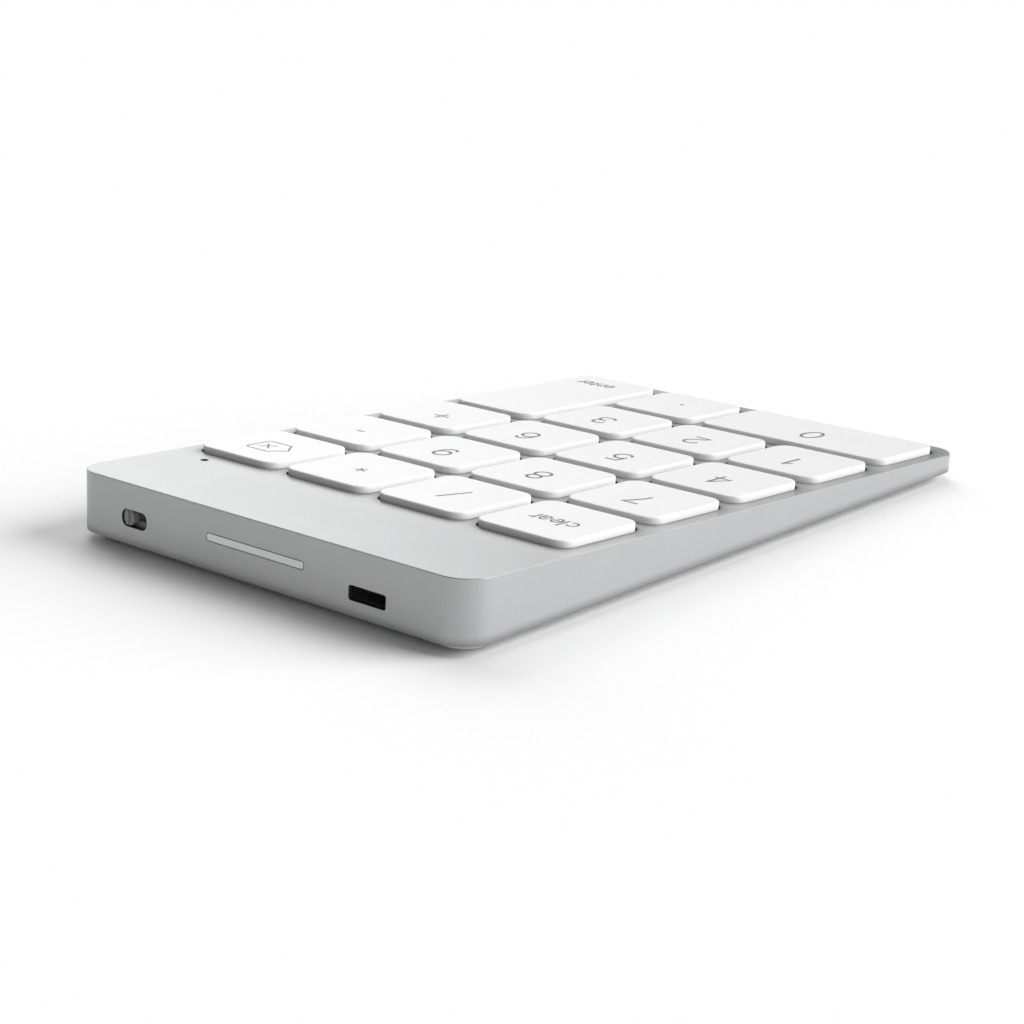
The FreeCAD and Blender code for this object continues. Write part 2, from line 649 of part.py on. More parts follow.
def screw(x, y, seat, shank_length, shank_radius, head_size, drive):
    """A pan screw driven from below: its head hangs under seat, its shank points up."""
    head_radius, head_height = head_size
    head = rod(x, y, seat - head_height, seat, head_radius)
    rounding = head_height * 0.4
    head = head.makeFillet(rounding, edges_at_height(head, seat - head_height))
    body = head.fuse(rod(x, y, seat - head_height / 2, seat + shank_length, shank_radius))
    low = seat - head_height - 1
    high = seat - head_height + CROSS_DEPTH
    slots = [
        centred_block(x, y, drive, CROSS_WIDTH, low, high),
        centred_block(x, y, CROSS_WIDTH, drive, low, high),
    ]
    return body.cut(slots).removeSplitter()


def small_screw(x, y, seat, shank_length):
    return screw(x, y, seat, shank_length, PLATE_SCREW_RADIUS, SMALL_HEAD, SMALL_DRIVE)


def feet():
    pads = []
    for side in (-1, 1):
        for end in (-1, 1):
            pad = rod(side * FOOT_X, end * FOOT_Y, 0, FOOT_HEIGHT, FOOT_RADIUS)
            pads.append(pad.makeFillet(FOOT_ROUNDING, edges_at_height(pad, 0)))
    return Part.makeCompound(pads)


# ---------------------------------------------------------------- back wall pieces
def antenna_window():
    """A plastic bar that fills its slot in the back wall, with a flange inside."""
    width, height, radius = ANTENNA_SLOT
    seam = -0.04
    face = wall_slot(0, ANTENNA_DEPTH, ANTENNA_SLOT, DECK_BACK - WALL - 0.4, DECK_BACK, seam)
    inner_wall = DECK_BACK - WALL
    flange_slot = (width + 2.2, height + 2.0, radius)
    flange = wall_slot(0, ANTENNA_DEPTH, flange_slot, inner_wall - 0.8, inner_wall)
    return face.fuse(flange).removeSplitter()


def switch_knob():
    face_y = DECK_BACK - SWITCH_RECESS
    pill = wall_slot(KNOB_X, SWITCH_DEPTH, SWITCH_KNOB, SWITCH_FRONT + 0.2, face_y)
    rib_slot = (SWITCH_RIB, SWITCH_KNOB[1] - 0.3, SWITCH_RIB / 2 - 0.02)
    rib = wall_slot(KNOB_X, SWITCH_DEPTH, rib_slot, face_y - 0.3, face_y + SWITCH_RIB_RISE)
    stem_width, stem_height, stem_length = SWITCH_STEM
    half_x = stem_width / 2
    half_w = stem_height / 2
    stem_front = SWITCH_FRONT + 0.3
    stem = block(KNOB_X - half_x, KNOB_X + half_x, stem_front - stem_length, stem_front,
                 -SWITCH_DEPTH - half_w, -SWITCH_DEPTH + half_w)
    return pill.fuse([rib, stem]).removeSplitter()


def switch_body():
    width, length = SWITCH_BODY
    body = block(SWITCH_X - width / 2, SWITCH_X + width / 2, SWITCH_FRONT - length, SWITCH_FRONT,
                 BOARD_TOP, -SWITCH_DEPTH + SWITCH_BODY_TOP)
    stem_width, stem_height, stem_length = SWITCH_STEM
    half_x = stem_width / 2 + 0.15
    half_w = stem_height / 2 + 0.12
    track = block(KNOB_X - SWITCH_TRAVEL - half_x, KNOB_X + half_x, SWITCH_FRONT - stem_length + 0.1,
                  SWITCH_FRONT + 1, -SWITCH_DEPTH - half_w, -SWITCH_DEPTH + half_w)
    return body.cut(track)


def socket_shell():
    back = SHELL_FRONT - SHELL_LENGTH
    outer = wall_slot(SOCKET_X, SOCKET_DEPTH, SHELL_OPENING, back, SHELL_FRONT, SHELL_THICKNESS)
    opening = wall_slot(SOCKET_X, SOCKET_DEPTH, SHELL_OPENING, back + 0.5, SHELL_FRONT + 1)
    bottom = -SOCKET_DEPTH - SHELL_OPENING[1] / 2 - SHELL_THICKNESS
    legs = []
    for side in (-1, 1):
        leg_x = SOCKET_X + side * SHELL_LEG_X
        legs.append(centred_block(leg_x, back + 2.0, 0.5, 1.6, BOARD_TOP, bottom + 0.1))
    return outer.cut(opening).fuse(legs).removeSplitter()


def socket_tongue():
    """The insulating tongue with its five raised contacts."""
    back = SHELL_FRONT - SHELL_LENGTH + 0.5
    front = SHELL_FRONT - TONGUE_SETBACK
    lower, upper = (level - SOCKET_DEPTH for level in TONGUE_LEVELS)
    half = TONGUE_WIDTH / 2
    tongue = block(SOCKET_X - half, SOCKET_X + half, back, front, lower, upper)
    base_x = SHELL_OPENING[0] / 2 - 0.3
    base_w = SHELL_OPENING[1] / 2 - 0.05
    base = block(SOCKET_X - base_x, SOCKET_X + base_x, back, back + 0.6,
                 -SOCKET_DEPTH - base_w, -SOCKET_DEPTH + base_w)
    contacts = []
    half = CONTACT_WIDTH / 2
    for index in range(CONTACT_COUNT):
        x = SOCKET_X + (index - (CONTACT_COUNT - 1) / 2) * CONTACT_PITCH
        low = lower - 0.08
        contacts.append(block(x - half, x + half, back + 0.4, front - 0.25, low, lower + 0.1))
    return tongue.fuse([base] + contacts).removeSplitter()


# ---------------------------------------------------------------- board
def main_board():
    middle = (BOARD_FRONT + BOARD_BACK) / 2
    board = slab(0, middle, 2 * BOARD_HALF_WIDTH, BOARD_BACK - BOARD_FRONT,
                 BOARD_BOTTOM, BOARD_TOP, 1.0)
    holes = []
    for x, y in BOARD_SCREWS:
        holes.append(rod(x, y, BOARD_BOTTOM - 1, BOARD_TOP + 1, PLATE_SCREW_RADIUS + 0.15))
    return board.cut(holes)


def chip(places):
    x, y, side, height = places
    return slab(x, y, side, side, BOARD_TOP, BOARD_TOP + height, 0.2)


def membrane_connector():
    width, front, back, height = CONNECTOR
    top = BOARD_TOP + height
    half = width / 2
    slot_half = TAIL_WIDTH / 2 + 0.2
    slot_w = BOARD_TOP + TAIL_PLUG_RISE
    body = block(-half, half, front, back, BOARD_TOP, top)
    mouth = block(-slot_half, slot_half, front - 1, back - 1.6, slot_w - 0.15, slot_w + 0.15)
    latch = block(0.5 - half, half - 0.5, back - 0.9, back - 0.3, top - 0.2, top + 0.3)
    return body.cut(mouth).fuse(latch).removeSplitter()


def battery():
    size_x, size_y, size_z = BATTERY_SIZE
    low = COVER_FLOOR_Z + BATTERY_LIFT
    cell = slab(0, BATTERY_MIDDLE_Y, size_x, size_y, low, low + size_z, 1.5)
    lower = edges_at_height(cell, low)
    upper = edges_at_height(cell, low + size_z)
    cell = cell.makeFillet(0.8, lower + upper)
    edge = BATTERY_MIDDLE_Y + size_y / 2
    seam = block(-size_x / 2 + 4, size_x / 2 - 4, edge - 0.5, edge + 0.8, low + 1.2, low + 1.8)
    return cell.fuse(seam).removeSplitter()


def battery_leads():
    """Two insulated leads from the battery's back edge to pads on the board."""
    start = BATTERY_MIDDLE_Y + BATTERY_SIZE[1] / 2 + 0.85
    middle_z = COVER_FLOOR_Z + BATTERY_LIFT + BATTERY_SIZE[2] / 2
    rest_w = BOARD_TOP + LEAD_RADIUS + 0.02
    leads = []
    for x in LEADS_X:
        pad = deck_to_row(x, BOARD_FRONT + 3.2, rest_w)
        crest = deck_to_row(x, BOARD_FRONT + 0.6, rest_w)
        bottom = point(x, start, middle_z)
        corner = point(x, start + 1.2, middle_z)
        leads.append(bent_wire([bottom, corner, crest, pad], LEAD_RADIUS, 0.5))
    return Part.makeCompound(leads)


# ---------------------------------------------------------------- assembly
def build_keys():
    domes = []
    for name, column, row, columns, rows in KEYS:
        nodes["key_" + name] = on_deck(key_cap(column, row, columns, rows))
        nodes["scissor_" + name] = on_deck(scissor(column, row))
        domes.append(dome(column, row))
        if columns > 1:
            nodes["zero_stabilizer"] = on_deck(stabiliser(column, row, True))
        if rows > 1:
            nodes["enter_stabilizer"] = on_deck(stabiliser(column, row, False))
    nodes["rubber_domes"] = on_deck(Part.makeCompound(domes))


def build_body():
    nodes["top_housing"] = top_housing()
    nodes["bottom_cover"] = bottom_cover()
    nodes["rubber_feet"] = feet()
    nodes["backplate"] = on_deck(backplate())
    nodes["membrane"] = on_deck(membrane())
    nodes["antenna_window"] = on_deck(antenna_window())
    nodes["power_switch_knob"] = on_deck(switch_knob())
    nodes["power_switch_body"] = on_deck(switch_body())
    nodes["socket_shell"] = on_deck(socket_shell())
    nodes["socket_tongue"] = on_deck(socket_tongue())
    lamp_x, lamp_y, lamp_height = LAMP_SIZE
    lamp_top = BOARD_TOP + lamp_height
    lamp = centred_block(LIGHT_X, LIGHT_Y, lamp_x, lamp_y, BOARD_TOP, lamp_top)
    nodes["status_led"] = on_deck(lamp)
    pipe = rod(LIGHT_X, LIGHT_Y, lamp_top + 0.1, LIGHT_PIPE_TOP, LIGHT_HOLE_RADIUS - BORE_GAP)
    nodes["led_light_pipe"] = on_deck(pipe)


def build_electronics():
    nodes["main_board"] = on_deck(main_board())
    nodes["membrane_connector"] = on_deck(membrane_connector())
    nodes["radio_chip"] = on_deck(chip(RADIO_CHIP))
    nodes["charger_chip"] = on_deck(chip(CHARGER_CHIP))
    nodes["battery_cell"] = battery()
    nodes["battery_leads"] = battery_leads()


def build_screws():
    plate_screws = []
    for x, y in crossings(PLATE_SCREWS):
        plate_screws.append(small_screw(x, y, PLATE_BOTTOM, PLATE_SHANK))
    nodes["backplate_screws"] = on_deck(Part.makeCompound(plate_screws))
    board_screws = []
    for x, y in BOARD_SCREWS:
        board_screws.append(small_screw(x, y, BOARD_BOTTOM, BOARD_SHANK))
    nodes["board_screws"] = on_deck(Part.makeCompound(board_screws))
    cover_screws = []
    for x, y in cover_post_places():
        shank = PAD_RISE + COVER_SHANK - 0.1
        cover_screws.append(
            screw(x, y, COVER_FLOOR_Z, shank, COVER_SCREW_RADIUS, COVER_HEAD, COVER_DRIVE))
    nodes["cover_screws"] = Part.makeCompound(cover_screws)


build_keys()
build_body()
build_electronics()
build_screws()
os.makedirs("parts", exist_ok=True)
for node, shape in nodes.items():
    shape.exportStep("parts/" + node + ".step")
print(len(nodes), "nodes, slope", round(math.degrees(SLOPE), 3))
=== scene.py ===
"""Looks of the numeric keypad: printed legends, flexing key parts, finishes, camera and studio."""
import json
import math

import bmesh
import bpy
import numpy as np
from mathutils import Matrix, Vector


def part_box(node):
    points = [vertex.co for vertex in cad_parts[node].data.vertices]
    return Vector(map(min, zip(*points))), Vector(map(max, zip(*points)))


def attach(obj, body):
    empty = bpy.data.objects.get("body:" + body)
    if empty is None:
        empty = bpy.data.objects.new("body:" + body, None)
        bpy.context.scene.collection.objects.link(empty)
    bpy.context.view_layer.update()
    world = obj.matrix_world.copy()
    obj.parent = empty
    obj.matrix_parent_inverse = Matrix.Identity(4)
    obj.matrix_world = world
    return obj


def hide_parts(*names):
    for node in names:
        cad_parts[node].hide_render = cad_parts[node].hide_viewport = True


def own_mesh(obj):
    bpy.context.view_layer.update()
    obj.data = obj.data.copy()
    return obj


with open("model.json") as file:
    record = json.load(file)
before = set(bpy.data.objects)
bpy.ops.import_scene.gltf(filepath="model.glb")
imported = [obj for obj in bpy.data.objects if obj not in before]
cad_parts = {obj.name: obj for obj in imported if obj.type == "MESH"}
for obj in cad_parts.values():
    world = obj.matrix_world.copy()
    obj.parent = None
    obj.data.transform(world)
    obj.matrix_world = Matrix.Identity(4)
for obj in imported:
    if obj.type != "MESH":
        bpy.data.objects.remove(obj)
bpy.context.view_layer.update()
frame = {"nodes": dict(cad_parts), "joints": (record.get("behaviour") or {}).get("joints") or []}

MM = 0.001
NODES = frame["nodes"]
JOINTS = {joint["name"]: joint for joint in frame["joints"]}

# The sloped deck's own axes: x to the right, y up the slope and w out of the deck.
ACROSS = Vector((1.0, 0.0, 0.0))
OUT = -Vector(JOINTS["key_5_press"]["axis"])
UPHILL = OUT.cross(ACROSS)
DECK_AXES = np.array([ACROSS, UPHILL, OUT])

KEY_NAMES = [name[len("key_"):-len("_press")] for name in JOINTS if name.endswith("_press")]


def deck_extent(node):
    """Lowest and highest x, y and w of a CAD node in the deck's axes, in metres."""
    mesh = NODES[node].data
    corners = np.empty(3 * len(mesh.vertices))
    mesh.vertices.foreach_get("co", corners)
    local = corners.reshape(-1, 3) @ DECK_AXES.T
    return local.min(0), local.max(0)


def row_point(x, y, w):
    """A point given in the deck's axes, in the frame that everything is placed in."""
    return x * ACROSS + y * UPHILL + w * OUT


KEY_BOX = {name: deck_extent(f"key_{name}") for name in KEY_NAMES}
KEY_MIDDLE = {name: (low + high) / 2 for name, (low, high) in KEY_BOX.items()}
CAP_TOP = KEY_BOX["5"][1][2]
MEMBRANE_TOP = deck_extent("membrane")[1][2]


# ---------------------------------------------------------------- mesh helpers

def new_object(name, bm, smooth=False):
    """Turns a bmesh into a scene object."""
    mesh = bpy.data.meshes.new(name)
    bmesh.ops.recalc_face_normals(bm, faces=bm.faces)
    bm.to_mesh(mesh)
    bm.free()
    if smooth:
        mesh.polygons.foreach_set("use_smooth", [True] * len(mesh.polygons))
    thing = bpy.data.objects.new(name, mesh)
    bpy.context.scene.collection.objects.link(thing)
    return thing


def piece(thing, body, material):
    """Declares a finished object as a piece of the part."""
    thing.data.materials.clear()
    thing.data.materials.append(material)
    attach(thing, body)
    return thing


# ---------------------------------------------------------------- materials

class Surface:
    """A procedural material being wired up, from textures in the part's frame."""

    def __init__(self, name, **sockets):
        self.material = bpy.data.materials.new(name)
        self.material.use_nodes = True
        self.tree = self.material.node_tree
        self.shader = self.tree.nodes["Principled BSDF"]
        self.place = self.tree.nodes.new("ShaderNodeTexCoord").outputs["Object"]
        for socket, value in sockets.items():
            self.shader.inputs[socket.replace("_", " ")].default_value = value

    def node(self, kind, **values):
        made = self.tree.nodes.new(kind)
        for key, value in values.items():
            if hasattr(made, key):
                setattr(made, key, value)
            else:
                made.inputs[key.replace("_", " ")].default_value = value
        return made

    def link(self, source, target):
        self.tree.links.new(source, target)

    def noise(self, size, detail=2.0, stretch=(1.0, 1.0, 1.0), distortion=0.0):
        """Noise whose features are about size metres across, stretched along the frame's axes."""
        vector = self.place
        if tuple(stretch) != (1.0, 1.0, 1.0):
            mapping = self.node("ShaderNodeMapping")
            mapping.inputs["Scale"].default_value = [1.0 / s for s in stretch]
            self.link(self.place, mapping.inputs["Vector"])
            vector = mapping.outputs["Vector"]
        made = self.node("ShaderNodeTexNoise", Scale=1.0 / size, Detail=detail, Distortion=distortion)
        self.link(vector, made.inputs["Vector"])
        return made.outputs["Fac"]

    def tones(self, source, stops):
        """Colours the surface from a texture: stops are (position, (red, green, blue))."""
        ramp = self.node("ShaderNodeValToRGB")
        ends = ramp.color_ramp.elements
        while len(ends) < len(stops):
            ends.new(0.5)
        for element, (position, colour) in zip(ends, stops):
            element.position = position
            element.color = (*colour, 1.0)
        self.link(source, ramp.inputs["Fac"])
        self.link(ramp.outputs["Color"], self.shader.inputs["Base Color"])
        return ramp.outputs["Color"]

    def span(self, source, low, high, socket):
        """Drives a shader socket between two values from a texture."""
        made = self.node("ShaderNodeMapRange", To_Min=low, To_Max=high)
        self.link(source, made.inputs["Value"])
        self.link(made.outputs["Result"], self.shader.inputs[socket])

    def relief(self, *layers):
        """Bumps the surface: layers are (texture, height in metres)."""
        normal = None
        for source, height in layers:
            made = self.node("ShaderNodeBump", Distance=height)
            self.link(source, made.inputs["Height"])
            if normal is not None:
                self.link(normal, made.inputs["Normal"])
            normal = made.outputs["Normal"]
        self.link(normal, self.shader.inputs["Normal"])


WINDOW_CORNER = 0.41 * MM     # corner radius of the antenna's window
WINDOW_FLANGE = np.array((1.14, 0.0, 1.04)) * MM    # how far the hidden flange stands out past its face
WINDOW_JOINT = 0.09 * MM      # width of the dark line round it
WINDOW_BLUR = 0.3             # softness of that line, as a part of its width
WINDOW_GRAIN = 0.25           # share of the ramp that the faint patches take
WINDOW_TONE = (0.86, 0.875, 0.895)
WINDOW_JOINT_TONE = (0.06, 0.06, 0.062)
# Painted shade in the metal's colour, standing in for the shade that falls in the gaps between keys.
PAINTED_SHADE_REACH = 3 * MM            # how far the occlusion behind the metal's painted shade looks for neighbours
PAINTED_SHADE_SAMPLES = 8
PAINTED_SHADE_POWER = 3.5


def shade(colour, factor):
    """A colour made lighter or darker."""
    return tuple(min(1.0, channel * factor) for channel in colour)


def mottled(name, colour, contrast=0.04, patch=6 * MM, roughness=(0.4, 0.5), grain=0.2 * MM,
            height=0.002 * MM, stretch=(1.0, 1.0, 1.0), **sockets):
    """A surface with faint patches of tone, grainy gloss and a fine relief."""
    made = Surface(name, **sockets)
    made.tones(made.noise(patch), [(0.3, shade(colour, 1 - contrast)), (0.7, shade(colour, 1 + contrast))])
    fine = made.noise(grain, stretch=stretch)
    made.span(fine, *roughness, "Roughness")
    made.relief((fine, height))
    return made


def anodised_aluminium():
    """Blasted metal with painted shade: its colour is darkened by occlusion where its surface is deep
    between neighbouring parts.
    """
    made = mottled("anodised_aluminium", (0.44, 0.445, 0.45), contrast=0.015, patch=9 * MM,
                   roughness=(0.32, 0.44), grain=0.13 * MM, height=0.006 * MM, Metallic=0.5)
    colour = made.shader.inputs["Base Color"].links[0].from_socket
    # Painted shade: ambient occlusion, raised to a power, darkens the base colour in the gaps between keys.
    depth = made.node("ShaderNodeAmbientOcclusion", Distance=PAINTED_SHADE_REACH, samples=PAINTED_SHADE_SAMPLES)
    dark = made.node("ShaderNodeMath", operation="POWER")
    dark.inputs[1].default_value = PAINTED_SHADE_POWER
    made.link(depth.outputs["AO"], dark.inputs[0])
    shaded = made.node("ShaderNodeVectorMath", operation="SCALE")
    made.link(colour, shaded.inputs[0])
    made.link(dark.outputs["Value"], shaded.inputs["Scale"])
    made.link(shaded.outputs["Vector"], made.shader.inputs["Base Color"])
    return made.material


def white_keys():
    made = mottled("white_keys", (0.86, 0.86, 0.86), contrast=0.008, patch=7 * MM,
                   roughness=(0.42, 0.54), grain=0.16 * MM, height=0.0015 * MM)
    made.shader.inputs["Specular IOR Level"].default_value = 0.45
    made.shader.inputs["Subsurface Weight"].default_value = 0.5
    made.shader.inputs["Subsurface Radius"].default_value = (1.0, 1.0, 1.0)
    made.shader.inputs["Subsurface Scale"].default_value = 0.5 * MM
    return made.material


def legend_ink():
    made = mottled("legend_ink", (0.17, 0.17, 0.175), contrast=0.08, patch=0.5 * MM,
                   roughness=(0.6, 0.75), grain=0.05 * MM, height=0.001 * MM)
    return made.material


def silver_cover():
    made = mottled("silver_cover", (0.52, 0.53, 0.54), contrast=0.02, patch=12 * MM,
                   roughness=(0.5, 0.62), grain=0.3 * MM, height=0.01 * MM)
    return made.material


def grey_rubber():
    made = mottled("grey_rubber", (0.11, 0.11, 0.112), contrast=0.1, patch=1.5 * MM,
                   roughness=(0.7, 0.85), grain=0.12 * MM, height=0.008 * MM)
    return made.material


def steel_sheet():
    made = mottled("steel_sheet", (0.56, 0.56, 0.55), contrast=0.05, patch=10 * MM,
                   roughness=(0.25, 0.45), grain=0.15 * MM, height=0.002 * MM,
                   stretch=(30.0, 1.0, 1.0), Metallic=1.0)
    return made.material


def membrane_film():
    made = Surface("membrane_film", Roughness=0.3)
    tracks = made.node("ShaderNodeTexWave", Scale=220.0, Distortion=1.5)
    made.link(made.place, tracks.inputs["Vector"])
    made.tones(tracks.outputs["Fac"], [(0.0, (0.35, 0.42, 0.4)), (0.86, (0.38, 0.45, 0.43)),
                                       (0.92, (0.62, 0.63, 0.62))])
    made.span(made.noise(2 * MM), 0.2, 0.35, "Roughness")
    made.relief((tracks.outputs["Fac"], 0.01 * MM))
    return made.material


def silicone():
    made = mottled("silicone", (0.62, 0.64, 0.64), contrast=0.04, patch=1.5 * MM,
                   roughness=(0.45, 0.6), grain=0.1 * MM, height=0.004 * MM)
    made.shader.inputs["Subsurface Weight"].default_value = 0.4
    made.shader.inputs["Subsurface Scale"].default_value = 0.5 * MM
    return made.material


def scissor_plastic():
    made = mottled("scissor_plastic", (0.72, 0.71, 0.68), contrast=0.03, patch=2 * MM,
                   roughness=(0.35, 0.45), grain=0.1 * MM, height=0.002 * MM)
    return made.material


def window_plastic():
    """The antenna's window, with the dark joint that runs round its edge."""
    made = Surface("window_plastic")
    low, high = deck_extent("antenna_window")
    middle, half = (low + high) / 2, (high - low) / 2 - WINDOW_FLANGE
    inner = [half[0] - WINDOW_CORNER, 1.0, half[2] - WINDOW_CORNER]
    across = made.node("ShaderNodeVectorMath", operation="DOT_PRODUCT")
    up = made.node("ShaderNodeVectorMath", operation="DOT_PRODUCT")
    for axis, way in ((across, ACROSS), (up, OUT)):
        made.link(made.place, axis.inputs[0])
        axis.inputs[1].default_value = way
    flat = made.node("ShaderNodeCombineXYZ")
    made.link(across.outputs["Value"], flat.inputs["X"])
    made.link(up.outputs["Value"], flat.inputs["Z"])
    centred = made.node("ShaderNodeVectorMath", operation="SUBTRACT")
    centred.inputs[1].default_value = (middle[0], 0, middle[2])
    folded = made.node("ShaderNodeVectorMath", operation="ABSOLUTE")
    beyond = made.node("ShaderNodeVectorMath", operation="SUBTRACT")
    beyond.inputs[1].default_value = inner
    kept = made.node("ShaderNodeVectorMath", operation="MAXIMUM")
    kept.inputs[1].default_value = (0, 0, 0)
    reach = made.node("ShaderNodeVectorMath", operation="LENGTH")
    chain = [flat, centred, folded, beyond, kept, reach]
    for first, second in zip(chain, chain[1:]):
        made.link(first.outputs["Vector"], second.inputs[0])
    inner_edge, blur = WINDOW_CORNER - WINDOW_JOINT, WINDOW_BLUR * WINDOW_JOINT
    joint = made.node("ShaderNodeMapRange", From_Min=inner_edge - blur, From_Max=inner_edge + blur)
    made.link(reach.outputs["Value"], joint.inputs["Value"])
    grain = made.noise(3 * MM)
    blend = made.node("ShaderNodeMath", operation="MULTIPLY_ADD")
    blend.inputs[1].default_value = WINDOW_GRAIN
    made.link(grain, blend.inputs[0])
    made.link(joint.outputs["Result"], blend.inputs[2])
    made.tones(blend.outputs["Value"], [(0.0, WINDOW_TONE), (WINDOW_GRAIN, shade(WINDOW_TONE, 1.03)),
                                        (0.9, WINDOW_JOINT_TONE)])
    fine = made.noise(0.12 * MM)
    made.span(fine, 0.4, 0.5, "Roughness")
    made.relief((fine, 0.002 * MM))
    return made.material


def switch_knob_plastic():
    made = mottled("switch_knob_plastic", (0.26, 0.265, 0.27), contrast=0.05, patch=0.8 * MM,
                   roughness=(0.42, 0.56), grain=0.09 * MM, height=0.004 * MM)
    return made.material


def black_plastic():
    made = mottled("black_plastic", (0.022, 0.022, 0.023), contrast=0.15, patch=1.2 * MM,
                   roughness=(0.4, 0.55), grain=0.1 * MM, height=0.004 * MM)
    return made.material


def switch_well_plastic():
    made = mottled("switch_well_plastic", (0.38, 0.385, 0.39), contrast=0.08, patch=0.9 * MM,
                   roughness=(0.5, 0.65), grain=0.1 * MM, height=0.003 * MM)
    return made.material


def smoked_light_pipe():
    made = mottled("smoked_light_pipe", (0.09, 0.09, 0.095), contrast=0.1, patch=0.4 * MM,
                   roughness=(0.15, 0.25), grain=0.06 * MM, height=0.002 * MM)
    made.shader.inputs["Transmission Weight"].default_value = 0.5
    return made.material


def lamp_plastic():
    made = mottled("lamp_plastic", (0.75, 0.73, 0.62), contrast=0.06, patch=0.3 * MM,
                   roughness=(0.2, 0.3), grain=0.06 * MM, height=0.002 * MM)
    return made.material


def board_green():
    made = Surface("board_green")
    made.shader.inputs["Coat Weight"].default_value = 0.3
    tracks = made.node("ShaderNodeTexBrick", Scale=700.0, Mortar_Size=0.03, Row_Height=0.5, Brick_Width=3.0)
    made.link(made.place, tracks.inputs["Vector"])
    made.tones(tracks.outputs["Fac"], [(0.0, (0.014, 0.11, 0.05)), (1.0, (0.03, 0.19, 0.09))])
    made.span(made.noise(1.5 * MM), 0.22, 0.36, "Roughness")
    made.relief((tracks.outputs["Fac"], 0.02 * MM), (made.noise(0.15 * MM), 0.003 * MM))
    return made.material


def connector_ivory():
    made = mottled("connector_ivory", (0.7, 0.66, 0.53), contrast=0.05, patch=1.5 * MM,
                   roughness=(0.4, 0.5), grain=0.1 * MM, height=0.003 * MM)
    return made.material


def battery_foil():
    made = mottled("battery_foil", (0.6, 0.61, 0.63), contrast=0.05, patch=8 * MM,
                   roughness=(0.25, 0.42), grain=0.6 * MM, height=0.004 * MM, Metallic=1.0)
    creases = made.noise(9 * MM, detail=3.0, distortion=0.6)
    made.relief((creases, 0.25 * MM), (made.noise(0.5 * MM), 0.01 * MM))
    return made.material


def lead_insulation():
    """Two leads side by side: the left one red, the right one black."""
    made = Surface("lead_insulation")
    side = made.node("ShaderNodeSeparateXYZ")
    made.link(made.place, side.inputs["Vector"])
    low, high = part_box("battery_leads")
    which = made.node("ShaderNodeMapRange", From_Min=(low[0] + high[0]) / 2 - 0.01 * MM,
                      From_Max=(low[0] + high[0]) / 2 + 0.01 * MM)
    made.link(side.outputs["X"], which.inputs["Value"])
    made.tones(which.outputs["Result"], [(0.0, (0.42, 0.025, 0.02)), (1.0, (0.02, 0.02, 0.021))])
    fine = made.noise(0.25 * MM)
    made.span(fine, 0.35, 0.5, "Roughness")
    made.relief((fine, 0.005 * MM))
    return made.material


def screw_steel():
    made = mottled("screw_steel", (0.5, 0.5, 0.5), contrast=0.08, patch=0.6 * MM,
                   roughness=(0.22, 0.4), grain=0.07 * MM, height=0.003 * MM, Metallic=1.0)
    return made.material


def spring_wire():
    made = mottled("spring_wire", (0.58, 0.57, 0.55), contrast=0.06, patch=1.5 * MM,
                   roughness=(0.18, 0.32), grain=0.06 * MM, height=0.002 * MM, Metallic=1.0)
    return made.material


FINISHES = {make.__name__: make() for make in (
    anodised_aluminium, white_keys, silver_cover, grey_rubber, steel_sheet, membrane_film, silicone,
    scissor_plastic, window_plastic, switch_knob_plastic, black_plastic, smoked_light_pipe,
    lamp_plastic, board_green, connector_ivory, battery_foil, lead_insulation, screw_steel, spring_wire)}
INK = legend_ink()
NODE_FINISHES = {"power_switch_body": switch_well_plastic()}


def dress_nodes():
    """Gives every CAD node the procedural finish of its material slot."""
    for name, node in NODES.items():
        for place in node.material_slots:
            place.material = NODE_FINISHES.get(name) or FINISHES[place.material.name.split(".")[0]]


# ---------------------------------------------------------------- printed legends

DIGIT_SIZE = (3.15, 4.85)     # mm, over the ink
DIGIT_PEN = 0.46              # stroke width, mm
ZERO_SIZE = (3.4, 5.4)        # the wide key's digit is larger
ZERO_PEN = 0.5
WORD_PEN = 0.36
SIGN_PEN = 0.4
X_HEIGHT = 2.2
ASCENDER = 3.15
LETTER_GAP = 0.2
INK_RISE = 0.012              # above the cap
INK_ROOT = 0.03               # into the cap
ARC_STEP = 9.0                # degrees
DIGIT_SHIFT = (-0.2, 1.25)    # middle of a digit, from the middle of its key
MITRE_LIMIT = 1.5


def arc(cx, cy, rx, ry, start, end):
    """Points along an elliptical arc, angles in degrees."""
    steps = max(2, math.ceil(abs(end - start) / ARC_STEP))
    turns = [math.radians(start + (end - start) * i / steps) for i in range(steps + 1)]
    return [(cx + rx * math.cos(a), cy + ry * math.sin(a)) for a in turns]


def ring(cx, cy, rx, ry):
    """A closed ellipse, without its repeated last point."""
    return arc(cx, cy, rx, ry, 0, 360)[:-1]


def moved(strokes, dx, dy, sx=1.0, sy=1.0):
    """Strokes scaled, then shifted."""
    return [([(dx + sx * x, dy + sy * y) for x, y in points], closed) for points, closed in strokes]


